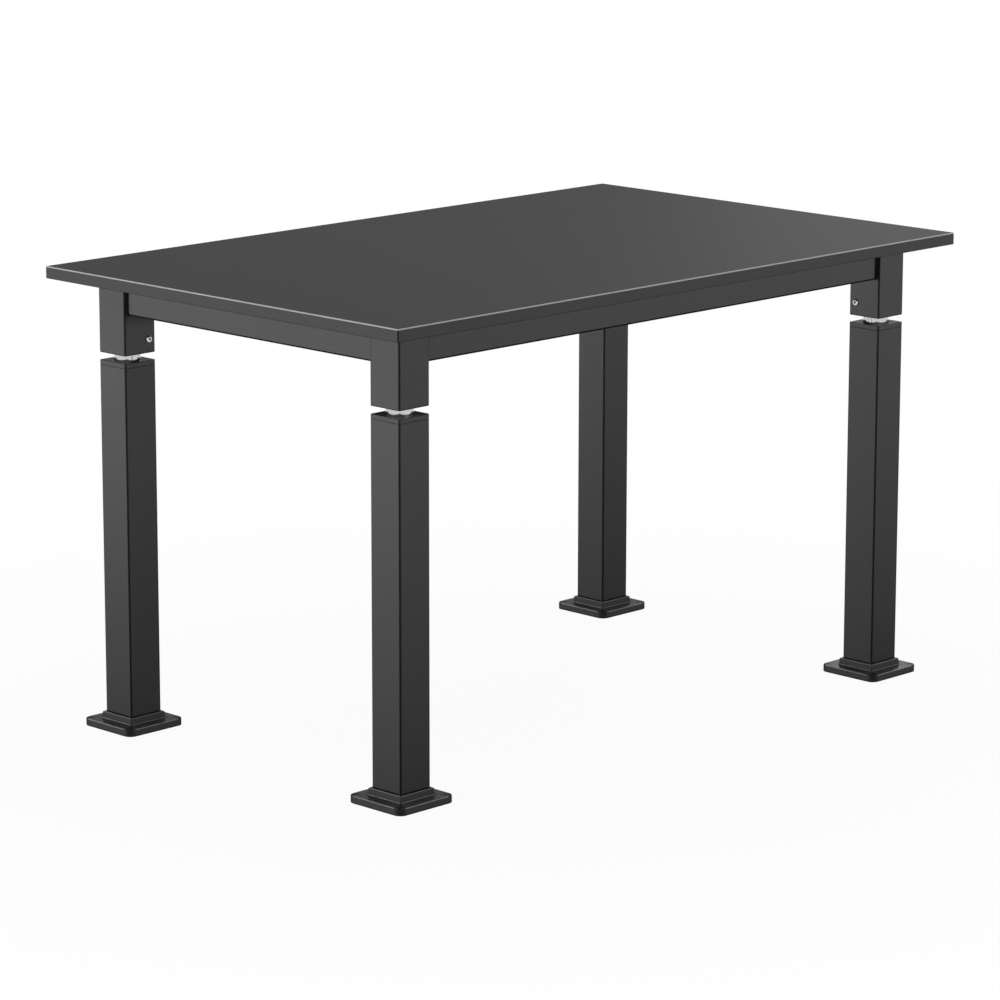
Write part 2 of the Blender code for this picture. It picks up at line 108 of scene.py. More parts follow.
SCREW_KEY_DEPTH = 0.0019
SCREW_HEAD_RIM = 3 * FIT
SCREW_TIP_SHARE = 0.2
SCREW_TIP_ROUND_SHARE = 0.25
KEY_POINT_SHARE = 0.25
KEY_TO_POINT_DEPTH = 6
BOOT_FLOOR = 0.004
BOOT_BASE = 0.0114
BOOT_BASE_ROUND = 0.0015
BOOT_SOLE_ROUND = 0.0008
BOOT_CORNER = 0.0124
BOOT_COLLAR_CORNER = 0.002
BOOT_BEAD_MARGIN = 0.0056
BOOT_BEAD_HEIGHT = 0.0011
BOOT_BEAD_ROUND = 0.001
BOOT_COLLAR_FOOT = 0.0046
BOOT_COLLAR_RIM = 0.0033
BOOT_COLLAR_ROUND = 0.0014
BOOT_CREASE = 0.0003
BOOT_SEAM = 0.0012
# Heights of the painted shade line at a tube's end or where one piece meets another, and where it fades
# out
CONTACT_SHADE = 0.0013
CONTACT_SHADE_FADE = 0.0021
LEAST_CORNER = 0.0003

# Edge marks: above 0 where an edge gets a painted highlight, below 0 where it gets painted shade
PAINTED_HIGHLIGHT = 1.0
PLAIN = 0.0
PAINTED_SHADE = -1.0
APRON_CORNER_SHADE = -0.6
TUBE_RIM_SHADE = -0.5
CAP_LIP_SHADE = -0.3
CAP_EDGE_SHADE = -0.8
BOOT_CORNER_SHADE = -0.7
BOOT_COLLAR_HIGHLIGHT = 0.7
SCREW_RIM_SHADE = -0.7

# Sizes that come from the boxes
TUBE_LOW, TUBE_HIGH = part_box("leg_tube_front_left")
CAP_LOW, CAP_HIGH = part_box("guide_cap_front_left")
POST_LOW, POST_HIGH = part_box("guide_post_front_left")
BOOT_LOW, BOOT_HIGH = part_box("boot_front_left")
LEG_HALF = (TUBE_HIGH.x - TUBE_LOW.x) / 2
PLUG_INSET = LEG_WALL + FIT
POST_RADIUS = (POST_HIGH.x - POST_LOW.x) / 2
BOOT_MARGIN = (BOOT_HIGH.x - BOOT_LOW.x) / 2 - LEG_HALF

# Fineness of the round stretches
CORNER_STEPS = 8
SIDE_STEPS = 24
EDGE_STEPS = 5
ROUND_POINTS = 48
DOME_STEPS = ROUND_POINTS // 4
BEVEL_SEGMENTS = 6
SHARP_ANGLE = math.radians(40)
WELD = 0.000001
CUT_MARGIN = 0.001

# Unevenness of the finishes, with the scales of noise per metre
NOISE_MIDDLE = 0.5
GRAIN_TO_DRIFT = 130.0
DRIFT_SHARE = 0.7
GRAIN_SHARE = 0.3
EDGE_PATCH_SCALE = 60.0
EDGE_PATCH_RANGE = (0.8, 1.0)
LINE_TONES = (0.88, 1.12)
SKIN_PATCH_SCALE = 9.0
SKIN_PATCH_SWING = 0.03
SKIN_BUMP = 0.5
METAL_PATCH_SCALE = 70.0
METAL_PATCH_SWING = 0.04
METAL_BUMP = 0.4
HIGHLIGHT_SMOOTHING = 0.1

# Colours
BLUE_TRACE = 1.015
# The painted shade on marked metal edges: round the foot of screw heads and in their sockets
SHADED_METAL = (0.03, 0.03, 0.03)
WHITE = (1.0, 1.0, 1.0, 1.0)
BLACK = (0.0, 0.0, 0.0, 1.0)

# The floor's reach, its colour, what light it gives back, and how white it looks from near to far
FLOOR_REACH = 60.0
FLOOR_COLOUR = 0.95
FLOOR_BOUNCE = 0.30
FLOOR_WHITE = (0.95, 1.0)
FLOOR_FADE = (0.6, 1.9)

# Lamps: two long ones at the sides, behind low cards, and soft ones above and round the table
WORLD_GREY = 0.02
SIDE_LAMP_WIDTH = 6.0
CARD_SHARE = 0.58
CARD_WIDTH = 9.0
LEFT = {"way": Vector((-9.0, 2.8, 0.0)), "lamp_height": 0.69, "power": 1100.0, "card_height": 0.25}
FRONT = {"way": Vector((4.5, -9.6, 0.0)), "lamp_height": 1.0, "power": 1150.0, "card_height": 0.47}
OVERHEAD = {"place": (0.3, 0.3, 2.6), "target": (0.3, 0.3, 0.7), "size": (4.0, 4.0), "power": 63.0}
RIGHT = {"place": (4.65, 2.05, 2.2), "target": (0.2, 0.0, 0.7), "size": (2.6, 1.4), "power": 58.0}
LEFT_KICK = {"place": (-5.8, 0.6, 1.85), "target": (0.0, 0.0, 0.6), "size": (4.0, 0.4), "power": 5.0}
FRONT_KICK = {"place": (1.1, -5.8, 1.85), "target": (0.0, 0.0, 0.6), "size": (4.0, 0.4), "power": 14.0}

# Camera, fitted to the straight edges of the table in the photograph
CAMERA_PLACE = (-4.647, -4.565, 1.761)
CAMERA_AZIMUTH = math.radians(-45)
CAMERA_DROP = math.radians(12.2747)
CAMERA_LENS = 154.1
CAMERA_SENSOR = 36.0
CAMERA_SHIFT = (0.0269, -0.0164)
CAMERA_REACH = 4 * FLOOR_REACH


def add(tree, kind, **settings):
    """A shader node with its settings."""
    made = tree.nodes.new(kind)
    for name, value in settings.items():
        setattr(made, name, value)
    return made


def fill(tree, socket, value):
    """Links a socket to another one, or sets its value."""
    if isinstance(value, bpy.types.NodeSocket):
        tree.links.new(value, socket)
    else:
        socket.default_value = value


def feed(tree, made, **inputs):
    """Sets or links a node's inputs, whose names are written with low lines for spaces."""
    for name, value in inputs.items():
        fill(tree, made.inputs[name.replace("_", " ")], value)
    return made


def noise(tree, vector, scale, detail, roughness=0.5):
    made = add(tree, "ShaderNodeTexNoise", noise_dimensions="3D")
    feed(tree, made, Vector=vector, Scale=scale, Detail=detail, Roughness=roughness)
    return made.outputs["Fac"]


def spread(tree, value, low, high):
    """A value from 0 to 1 spread between two limits."""
    made = add(tree, "ShaderNodeMapRange")
    feed(tree, made, Value=value, To_Min=low, To_Max=high)
    return made.outputs["Result"]


def uneven(tree, place, scale, detail, middle, swing):
    """A value that wanders to both sides of its middle from patch to patch."""
    return spread(tree, noise(tree, place, scale, detail), middle - swing, middle + swing)


def maths(tree, operation, first, second):
    made = add(tree, "ShaderNodeMath", operation=operation)
    for socket, value in zip(made.inputs, (first, second)):
        fill(tree, socket, value)
    return made.outputs["Value"]


def group(name, inputs, outputs):
    """An empty shader group, with its input and output nodes."""
    tree = bpy.data.node_groups.new(name, "ShaderNodeTree")
    for label, kind in inputs:
        tree.interface.new_socket(label, in_out="INPUT", socket_type=kind)
    for label, kind in outputs:
        tree.interface.new_socket(label, in_out="OUTPUT", socket_type=kind)
    return tree, add(tree, "NodeGroupInput").outputs, add(tree, "NodeGroupOutput")


def fine_grain():
    """Fine bumps of a moulded or sprayed skin, and slow drifts of its tone."""
    tree, given, result = group(
        "fine_grain",
        [("Coordinates", "NodeSocketVector"), ("Scale", "NodeSocketFloat"), ("Drift", "NodeSocketFloat")],
        [("Height", "NodeSocketFloat"), ("Tone", "NodeSocketFloat")],
    )
    fine = noise(tree, given["Coordinates"], given["Scale"], detail=2.0)
    slow_scale = maths(tree, "DIVIDE", given["Scale"], GRAIN_TO_DRIFT)
    slow = noise(tree, given["Coordinates"], slow_scale, detail=4.0, roughness=0.6)
    slow_part = maths(tree, "MULTIPLY", slow, DRIFT_SHARE)
    fine_part = maths(tree, "MULTIPLY", fine, GRAIN_SHARE)
    mixed = maths(tree, "ADD", slow_part, fine_part)
    swing = maths(tree, "MULTIPLY", maths(tree, "SUBTRACT", mixed, NOISE_MIDDLE), given["Drift"])
    feed(tree, result, Height=fine, Tone=maths(tree, "ADD", swing, 1.0))
    return tree


def painted_edge_light():
    """Where a piece's edges get a painted highlight and where they get painted shade, from its own edge
    attribute.
    """
    tree, given, result = group(
        "painted_edge_light",
        [("Coordinates", "NodeSocketVector")],
        [("Polish", "NodeSocketFloat"), ("Shade", "NodeSocketFloat")],
    )
    edge = add(tree, "ShaderNodeAttribute", attribute_name="edge").outputs["Fac"]
    patches = spread(tree, noise(tree, given["Coordinates"], EDGE_PATCH_SCALE, 3.0), *EDGE_PATCH_RANGE)
    pale = maths(tree, "MAXIMUM", edge, 0.0)
    dark = maths(tree, "MAXIMUM", maths(tree, "MULTIPLY", edge, -1.0), 0.0)
    highlight_mask = maths(tree, "MULTIPLY", pale, patches)
    shade = maths(tree, "MULTIPLY", dark, patches)
    feed(tree, result, Polish=highlight_mask, Shade=shade)
    return tree


def drawn_lines():
    """Fine lines along one direction, as a die or a cutting tool leaves them."""
    tree, given, result = group(
        "drawn_lines",
        [("Coordinates", "NodeSocketVector"), ("Across", "NodeSocketVector")],
        [("Height", "NodeSocketFloat"), ("Tone", "NodeSocketFloat")],
    )
    stretched = add(tree, "ShaderNodeVectorMath", operation="MULTIPLY")
    tree.links.new(given["Coordinates"], stretched.inputs[0])
    tree.links.new(given["Across"], stretched.inputs[1])
    lines = noise(tree, stretched.outputs["Vector"], scale=1.0, detail=4.0, roughness=0.65)
    feed(tree, result, Height=lines, Tone=spread(tree, lines, *LINE_TONES))
    return tree


def place_group(tree, kind, **inputs):
    made = add(tree, "ShaderNodeGroup", node_tree=GROUPS[kind])
    return feed(tree, made, **inputs).outputs


def tinted(tree, colour, tone):
    """A colour made lighter or darker by a tone."""
    made = add(tree, "ShaderNodeMix", data_type="RGBA", blend_type="MULTIPLY")
    made.inputs["Factor"].default_value = 1.0
    made.inputs["A"].default_value = (*colour, 1.0)
    tree.links.new(tone, made.inputs["B"])
    return made.outputs["Result"]


def blended(tree, mask, first, second):
    """One colour, and another where a mask is 1."""
    made = add(tree, "ShaderNodeMix", data_type="RGBA")
    tree.links.new(mask, made.inputs["Factor"])
    tree.links.new(first, made.inputs["A"])
    made.inputs["B"].default_value = (*second, 1.0)
    return made.outputs["Result"]


def mixed_shader(tree, mask, first, second):
    """One shader, and another where a mask is 1."""
    made = add(tree, "ShaderNodeMixShader")
    for socket, value in zip(made.inputs, (mask, first, second)):
        tree.links.new(value, socket)
    return made.outputs["Shader"]


def cool(grey):
    """A grey with a trace of blue."""
    return (grey, grey, grey * BLUE_TRACE)


def bumped(tree, height, depth, strength):
    made = add(tree, "ShaderNodeBump")
    feed(tree, made, Height=height, Distance=depth, Strength=strength)
    return made.outputs["Normal"]


def new_finish(name):
    """A material with its shader and the piece's own coordinates."""
    material = bpy.data.materials.new(name)
    material.use_nodes = True
    tree = material.node_tree
    place = add(tree, "ShaderNodeTexCoord").outputs["Object"]
    return material, tree, tree.nodes["Principled BSDF"], place


def coated(name, grey, painted_highlight_grey, painted_shade_grey, roughness, gloss, shine, grain, depth, drift):
    """A dull skin of paint, resin or plastic, whose marked edges get a painted highlight of one grey or
    painted shade of another.

    The gloss is the weight of a clear coat, whose roughness is the shine. Edges with painted shade have
    no gloss.
    """
    material, tree, shader, place = new_finish(name)
    skin = place_group(tree, "fine_grain", Coordinates=place, Scale=grain, Drift=drift)
    edges = place_group(tree, "painted_edge_light", Coordinates=place)
    colour = tinted(tree, cool(grey), skin["Tone"])
    # Painted highlight and painted shade on the marked edges, over the skin's own tone
    colour = blended(tree, edges["Polish"], colour, cool(painted_highlight_grey))
    colour = blended(tree, edges["Shade"], colour, cool(painted_shade_grey))
    matt = uneven(tree, place, SKIN_PATCH_SCALE, 3.0, roughness, SKIN_PATCH_SWING)
    smoothing = maths(tree, "MULTIPLY", edges["Polish"], HIGHLIGHT_SMOOTHING)
    unshaded = maths(tree, "SUBTRACT", 1.0, edges["Shade"])
    feed(
        tree,
        shader,
        Base_Color=colour,
        Roughness=maths(tree, "SUBTRACT", matt, smoothing),
        Normal=bumped(tree, skin["Height"], depth, SKIN_BUMP),
        Specular_IOR_Level=0.0,
        Coat_Weight=maths(tree, "MULTIPLY", unshaded, gloss),
        Coat_Roughness=shine,
    )
    return material


def bare_metal(name, colour, roughness, across, depth):
    """A bright metal with fine lines, with painted shade where its edge attribute says so."""
    material, tree, shader, place = new_finish(name)
    lines = place_group(tree, "drawn_lines", Coordinates=place, Across=across)
    edges = place_group(tree, "painted_edge_light", Coordinates=place)
    feed(
        tree,
        shader,
        Base_Color=blended(tree, edges["Shade"], tinted(tree, colour, lines["Tone"]), SHADED_METAL),
        Roughness=uneven(tree, place, METAL_PATCH_SCALE, 2.0, roughness, METAL_PATCH_SWING),
        Normal=bumped(tree, lines["Height"], depth, METAL_BUMP),
        Metallic=1.0,
    )
    return material


GROUPS = {"fine_grain": fine_grain(), "painted_edge_light": painted_edge_light(), "drawn_lines": drawn_lines()}

# The dull skins' second and third greys are their painted highlight and painted shade on marked edges
FINISHES = {
    "resin_top": coated(
        "satin_resin", grey=0.056, painted_highlight_grey=0.36, painted_shade_grey=0.004, roughness=0.40,
        gloss=0.12, shine=0.45, grain=1500.0, depth=0.00002, drift=0.10,
    ),
    "powder_coat": coated(
        "dark_powder_coat", grey=0.075, painted_highlight_grey=0.11, painted_shade_grey=0.004, roughness=0.44,
        gloss=0.08, shine=0.40, grain=1100.0, depth=0.00006, drift=0.10,
    ),
    "moulded_plastic": coated(
        "moulded_black", grey=0.066, painted_highlight_grey=0.40, painted_shade_grey=0.004, roughness=0.30,
        gloss=0.25, shine=0.25, grain=2200.0, depth=0.00003, drift=0.08,
    ),
    "cap_plastic": coated(
        "moulded_cap", grey=0.070, painted_highlight_grey=0.20, painted_shade_grey=0.014, roughness=0.34,
        gloss=0.16, shine=0.06, grain=2200.0, depth=0.00003, drift=0.08,
    ),
    "glide_plastic": coated(
        "bearing_plastic", grey=0.66, painted_highlight_grey=0.72, painted_shade_grey=0.50, roughness=0.40,
        gloss=0.5, shine=0.30, grain=1400.0, depth=0.00003, drift=0.06,
    ),
    "aluminium_post": bare_metal(
        "drawn_aluminium", colour=(0.56, 0.56, 0.57), roughness=0.10,
        across=(1600.0, 1600.0, 5.0), depth=0.00001,
    ),
    "cast_block": bare_metal(
        "sand_casting", colour=(0.52, 0.52, 0.53), roughness=0.50,
        across=(500.0, 500.0, 500.0), depth=0.00008,
    ),
    "bright_screw": bare_metal(
        "zinc_plate", colour=(0.60, 0.63, 0.65), roughness=0.20,
        across=(900.0, 900.0, 900.0), depth=0.00001,
    ),
    "chromed_rod": bare_metal(
        "ground_chrome", colour=(0.80, 0.80, 0.81), roughness=0.12,
        across=(40.0, 40.0, 2400.0), depth=0.00001,
    ),
    "foot_steel": bare_metal(
        "turned_steel", colour=(0.42, 0.42, 0.43), roughness=0.38,
        across=(60.0, 60.0, 1800.0), depth=0.00002,
    ),
}


def box_ring(half_x, half_y, corner):
    """Outline of a rectangle with round corners, its sides stepped as well."""
    points = []
    for sign_x, sign_y, quarter in ((1, 1, 0), (-1, 1, 1), (-1, -1, 2), (1, -1, 3)):
        for step in range(CORNER_STEPS + 1):
            angle = math.pi / 2 * (quarter + step / CORNER_STEPS)
            x = sign_x * (half_x - corner) + corner * math.cos(angle)
            y = sign_y * (half_y - corner) + corner * math.sin(angle)
            points.append(Vector((x, y)))
    ring = []
    for i, point in enumerate(points):
        ring.append(point)
        if i % (CORNER_STEPS + 1) == CORNER_STEPS:
            ahead = points[(i + 1) % len(points)]
            ring += [point.lerp(ahead, step / SIDE_STEPS) for step in range(1, SIDE_STEPS)]
    return ring


def leg_ring(offset, corner=LEG_CORNER):
    """Outline of the leg, grown by an offset."""
    half = LEG_HALF + offset
    return box_ring(half, half, max(corner + offset, LEAST_CORNER))


def apron_ring(offset, half_x, half_y):
    """Outline of an apron's section, grown by an offset."""
    return box_ring(half_x + offset, half_y + offset, max(APRON_CORNER + offset, LEAST_CORNER))


LEG_ANGLES = [math.atan2(point.y, point.x) for point in leg_ring(0.0)]


def spoke(radius, angle):
    return Vector((radius * math.cos(angle), radius * math.sin(angle)))


def bore_ring(radius):
    """Outline of a circle with as many points as the leg's outline, each at the same angle."""
    return [spoke(radius, angle) for angle in LEG_ANGLES]


def round_ring(radius):
    return [spoke(radius, math.tau * i / ROUND_POINTS) for i in range(ROUND_POINTS)]


def hexagon_ring(across):
    """Outline of a hexagon with as many points as a round ring."""
    ring = []
    for i in range(ROUND_POINTS):
        angle = math.tau * i / ROUND_POINTS
        turned = (angle + math.pi / 6) % (math.pi / 3) - math.pi / 6
        ring.append(spoke(across / 2 / math.cos(turned), angle))
    return ring


def rounding_and_mark(spot):
    """What a profile's point says past its offset and height: a rounding and a mark, or nothing."""
    return spot[2:] or (0.0, PLAIN)


def swept(outline, profile):
    """Rings of a profile, each with its outline, its height and its edge mark.

    The profile's points are an offset, a height and, where they have them, a rounding and an edge mark.
    """
    spots = [(*profile[0][:2], rounding_and_mark(profile[0])[1])]
    for before, spot, after in zip(profile, profile[1:], profile[2:]):
        here = Vector(spot[:2])
        rounding, mark = rounding_and_mark(spot)
        if not rounding:
            spots.append((*here, mark))
            continue
        back = (Vector(before[:2]) - here).normalized()
        ahead = (Vector(after[:2]) - here).normalized()
        half_angle = back.angle(ahead) / 2
        reach = rounding / math.tan(half_angle)
        centre = here + (back + ahead).normalized() * rounding / math.sin(half_angle)
        start = (here + back * reach - centre).normalized()
        end = (here + ahead * reach - centre).normalized()
        for step in range(EDGE_STEPS + 1):
            share = step / EDGE_STEPS
            place = centre + start.slerp(end, share) * rounding
            spots.append((*place, mark * math.sin(math.pi * share)))
    spots.append((*profile[-1][:2], rounding_and_mark(profile[-1])[1]))
    return [(outline(offset), height, edge) for offset, height, edge in spots]


def risen(vert, fresh):
    """The new vertex that an extrusion drew from this one."""
    return next(edge.other_vert(vert) for edge in vert.link_edges if edge.other_vert(vert) in fresh)


def loft(rings, through=False, corner_shade=PLAIN):
    """A shape drawn from ring to ring by extrusion, capped at both ends or closed into a tube.

    The corner shade, a painted shade, goes on the round corners of outlines that are boxes.
    """
    bm = bmesh.new()
    mark = bm.verts.layers.float.new("edge")
    made = bmesh.ops.create_circle(bm, cap_ends=not through, segments=len(rings[0][0]), radius=1.0)
    ring = made["verts"]
    edges = bm.edges[:]
    for number, (outline, height, edge) in enumerate(rings + rings[:1] * through):
        if number:
            drawn = bmesh.ops.extrude_edge_only(bm, edges=edges)["geom"]
            fresh = {item for item in drawn if isinstance(item, bmesh.types.BMVert)}
            sides = [item for item in drawn if isinstance(item, bmesh.types.BMEdge)]
            edges = [side for side in sides if fresh.issuperset(side.verts)]
            ring = [risen(vert, fresh) for vert in ring]
        for i, (vert, (x, y)) in enumerate(zip(ring, outline)):
            vert.co = (x, y, height)
            vert[mark] = edge
            turn = i % (CORNER_STEPS + SIDE_STEPS)
            if corner_shade and turn < CORNER_STEPS:
                vert[mark] = corner_shade * math.sin(math.pi * turn / CORNER_STEPS)
    if through:
        bmesh.ops.remove_doubles(bm, verts=bm.verts[:], dist=WELD)
    else:
        bmesh.ops.contextual_create(bm, geom=edges)
    bmesh.ops.recalc_face_normals(bm, faces=bm.faces[:])
    return bm


def moved(bm, matrix):
    bmesh.ops.transform(bm, matrix=matrix, verts=bm.verts[:])
    return bm


def mesh_of(bm, name):
    mesh = bpy.data.meshes.new(name)
    bm.to_mesh(mesh)
    bm.free()
    return mesh


def linked(name, data):
    """An object of the scene."""
    made = bpy.data.objects.new(name, data)
    bpy.context.scene.collection.objects.link(made)
    return made


def stand_for(node, bm, cutters=(), finish=None):
    """Makes a shape the piece in a part's place, with its body and the finish of its part's slot, and its
    holes cut.
    """
    piece = linked(f"{node}_fine", mesh_of(bm, f"{node}_fine"))
    if cutters:
        cut(piece, cutters)
    piece.data.shade_smooth()
    piece.data.set_sharp_from_angle(angle=SHARP_ANGLE)
    piece.data.materials.append(FINISHES[finish or SLOT_OF[node]])
    piece.modifiers.new("even_shading", "WEIGHTED_NORMAL").keep_sharp = True
    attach(piece, BODY_OF[node])
    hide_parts(node)
    return piece


def cut(piece, cutters):
    """Takes round cutters out of the piece."""
    helpers = []
    for bm in cutters:
        helper = linked("cutter", mesh_of(bm, "cutter"))
        helpers.append(helper)
        modifier = piece.modifiers.new("cut", "BOOLEAN")
        modifier.operation = "DIFFERENCE"
        modifier.solver = "EXACT"
        modifier.object = helper
    graph = bpy.context.evaluated_depsgraph_get()
    mesh = bpy.data.meshes.new_from_object(piece.evaluated_get(graph))
    piece.modifiers.clear()
    piece.data = mesh
    for helper in helpers:
        bpy.data.objects.remove(helper)


def drill(radius, start, end):
    """A round cutter between two points."""
    run = Vector(end) - Vector(start)
    bm = loft([(round_ring(radius), 0.0, PLAIN), (round_ring(radius), run.length, PLAIN)])
    return moved(bm, Matrix.Translation(start) @ aimed(run))


def aimed(direction):
    """A turn from +Z to a direction."""
    return Vector((0, 0, 1)).rotation_difference(Vector(direction)).to_matrix().to_4x4()


def middle_of(node):
    low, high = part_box(node)
    return (low + high) / 2


def leg_axis(corner):
    """The point of a leg's axis on the floor."""
    low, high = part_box(f"leg_tube_{corner}")
    return Vector(((low.x + high.x) / 2, (low.y + high.y) / 2, 0.0))


def ways(inward):
    """The directions from a leg along both aprons."""
    return {"x": Vector((inward[0], 0, 0)), "y": Vector((0, inward[1], 0))}


def bevelled(bm, edges, offset, segments, edge_mark):
    """Rounds edges, and marks the rounding for a painted highlight or painted shade."""
    mark = bm.verts.layers.float["edge"]
    made = bmesh.ops.bevel(
        bm,
        geom=edges,
        offset=offset,
        offset_type="OFFSET",
        affect="EDGES",
        segments=segments,
        profile=0.5,
        material=-1,
    )
    faces = set(made["faces"])
    for vert in made["verts"]:
        if faces.issuperset(vert.link_faces):
            vert[mark] = edge_mark


def level_edges(bm, height):
    return [edge for edge in bm.edges if all(abs(vert.co.z - height) < WELD for vert in edge.verts)]


def upright_edges(bm):
    return [edge for edge in bm.edges if abs(edge.verts[0].co.z - edge.verts[1].co.z) > WELD]


def paint_corner_shade(bm, half_x, half_y, corner, top):
    """Marks the round upright corners of a box for painted shade, below a height."""
    mark = bm.verts.layers.float["edge"]
    for vert in bm.verts:
        out_x = abs(vert.co.x) - half_x + corner
        out_y = abs(vert.co.y) - half_y + corner
        if min(out_x, out_y) > WELD and vert.co.z < top + WELD:
            vert[mark] = PAINTED_SHADE * math.sin(2 * math.atan2(out_y, out_x))


def paint_shade_between(bm, low, high):
    """Marks what lies between two heights for painted shade."""
    mark = bm.verts.layers.float["edge"]
    for vert in bm.verts:
        if low < vert.co.z < high:
            vert[mark] = PAINTED_SHADE


def painted_shade_line(offset, height):
    """Points of a profile that give it painted shade to just above a height, and none a little further
    up.
    """
    return [(offset, height + CONTACT_SHADE, 0.0, PAINTED_SHADE), (offset, height + CONTACT_SHADE_FADE)]


def work_top():
    """The slab, with rounded corners and edges, and blind holes for the screws from below."""
    low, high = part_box("work_top")
    bm = bmesh.new()
    bm.verts.layers.float.new("edge")
    size = Matrix.Diagonal((*(high - low), 1.0))
    bmesh.ops.create_cube(bm, size=1.0, matrix=Matrix.Translation((low + high) / 2) @ size)
    bevelled(bm, upright_edges(bm), TOP_CORNER, CORNER_STEPS, PLAIN)
    # Painted highlight on the rounded top edges; painted shade on the lower edges and the upright corners
    bevelled(bm, level_edges(bm, high.z), TOP_EDGE_ROUND, BEVEL_SEGMENTS, PAINTED_HIGHLIGHT)
    bevelled(bm, level_edges(bm, low.z), TOP_UNDER_ROUND, BEVEL_SEGMENTS // 2, PAINTED_SHADE)
    paint_corner_shade(bm, high.x, high.y, TOP_CORNER, high.z - TOP_EDGE_ROUND)
    holes = []
    for corner in CORNERS:
        x, y = middle_of(f"top_screw_{corner}").xy
        start = (x, y, low.z - CUT_MARGIN)
        holes.append(drill(TOP_SCREW_RADIUS + FIT, start, (x, y, low.z + TOP_SCREW_GRIP + FIT)))
    stand_for("work_top", bm, holes)


def aprons():
    """The four rectangular tubes under the edges of the top."""
    for side in ("front", "back", "left", "right"):
        node = f"apron_{side}"
        low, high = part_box(node)
        size = high - low
        along = Vector((1, 0, 0)) if size.x > size.y else Vector((0, 1, 0))
        end = size.dot(along) / 2
        # The tube is drawn along Z, and its section lies as the turn to its own direction leaves it
        section = aimed(along).inverted().to_3x3() @ size
        outline = partial(apron_ring, half_x=abs(section.x) / 2, half_y=abs(section.y) / 2)
        profile = [(-APRON_WALL, -end), (0.0, -end), (0.0, end), (-APRON_WALL, end)]
        # Painted shade on the tube's round corners
        bm = loft(swept(outline, profile), through=True, corner_shade=APRON_CORNER_SHADE)
        moved(bm, Matrix.Translation((low + high) / 2) @ aimed(along))
        # Painted shade along the rounded lower edges
        paint_shade_between(bm, low.z + WELD, low.z + APRON_CORNER * APRON_SHADE_SHARE)
        stand_for(node, bm)


def square_tube(low, high, line, rim=TUBE_EDGE, rim_shade=PAINTED_SHADE):
    """A tube of the leg's section with eased ends, and painted shade on its corners, its ends and a line
    round its outside.
    """
    middle = -LEG_WALL / 2
    profile = [
        (middle, low),
        (0.0, low, TUBE_EDGE, PAINTED_SHADE),
        *painted_shade_line(0.0, line),
        (0.0, high, rim, rim_shade),
        (-LEG_WALL, high, rim, rim_shade),
        (-LEG_WALL, low, TUBE_EDGE, PAINTED_SHADE),
        (middle, low),
    ]
    return loft(swept(leg_ring, profile)[:-1], through=True, corner_shade=PAINTED_SHADE)


def screw_axis(way, corner, along):
    """The point of a socket screw's axis that is level with the middle of the leg."""
    spot = middle_of(f"socket_screw_{way}_{corner}")
    return spot - along * (spot - leg_axis(corner)).dot(along)


def leg_socket(corner, inward):
    """The short tube under the top, with painted shade at its lower end, and holes for two screws and to
    the inlet.
    """
    node = f"leg_socket_{corner}"
    low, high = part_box(node)
    toward = ways(inward)
    spots = []
    for way, along in toward.items():
        spots.append((screw_axis(way, corner, along), along, SCREW_RADIUS + FIT))
    inlet = screw_axis("x", corner, toward["x"])
    inlet.z = high.z - INLET_HOLE_DROP
    spots.append((inlet, toward["x"], INLET_HOLE_RADIUS))
    holes = []
    for spot, along, radius in spots:
        start = spot + along * (LEG_HALF - LEG_WALL - CUT_MARGIN)
        holes.append(drill(radius, start, spot + along * (LEG_HALF + CUT_MARGIN)))
    bm = square_tube(low.z, high.z, low.z)
    stand_for(node, moved(bm, Matrix.Translation(leg_axis(corner))), holes)


def leg_tube(corner):
    """The lower leg, with a line of painted shade where it leaves the boot."""
    node = f"leg_tube_{corner}"
    low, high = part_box(node)
    bm = square_tube(low.z, high.z, BOOT_HIGH.z, TUBE_RIM, TUBE_RIM_SHADE)
    stand_for(node, moved(bm, Matrix.Translation(leg_axis(corner))))


def guide_cap(corner):
    """The cap round the post: a rim flush with the tube, a skirt inside it and a flat bored top."""
    low = CAP_LOW.z
    high = CAP_HIGH.z
    seat = high - CAP_RIM
    bore = POST_RADIUS + GUIDE_FIT
    # Painted shade on the rim's lip, its outer edge and its corners; a painted sheen on the flat top
    outside = [
        (-PLUG_INSET, low),
        (-PLUG_INSET, seat),
        (0.0, seat, CAP_LIP, CAP_LIP_SHADE),
        (0.0, high, CAP_EDGE, CAP_EDGE_SHADE),
        (-2 * CAP_EDGE, high),
        (-3 * CAP_EDGE, high, 0.0, PAINTED_HIGHLIGHT),
    ]
    inside = [
        (bore + 2 * CAP_LIP, high, 0.0, PAINTED_HIGHLIGHT),
        (bore, high, CAP_LIP, PLAIN),
        (bore, low),
    ]
    bm = loft(swept(leg_ring, outside) + swept(bore_ring, inside), through=True)
    paint_corner_shade(bm, LEG_HALF, LEG_HALF, LEG_CORNER, high - CAP_EDGE)
    moved(bm, Matrix.Translation(leg_axis(corner)))
    stand_for(f"guide_cap_{corner}", bm, finish="cap_plastic")


def guide_post(corner):
    """The round drawn post with its bore."""
    node = f"guide_post_{corner}"
    low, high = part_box(node)
    bore = POST_BORE / 2
    wall = [
        (bore, low.z),
        (POST_RADIUS, low.z, POST_EDGE, PLAIN),
        (POST_RADIUS, high.z, POST_EDGE, PLAIN),
        (bore, high.z),
    ]
    bm = loft(swept(bore_ring, wall), through=True)
    stand_for(node, moved(bm, Matrix.Translation(leg_axis(corner))))


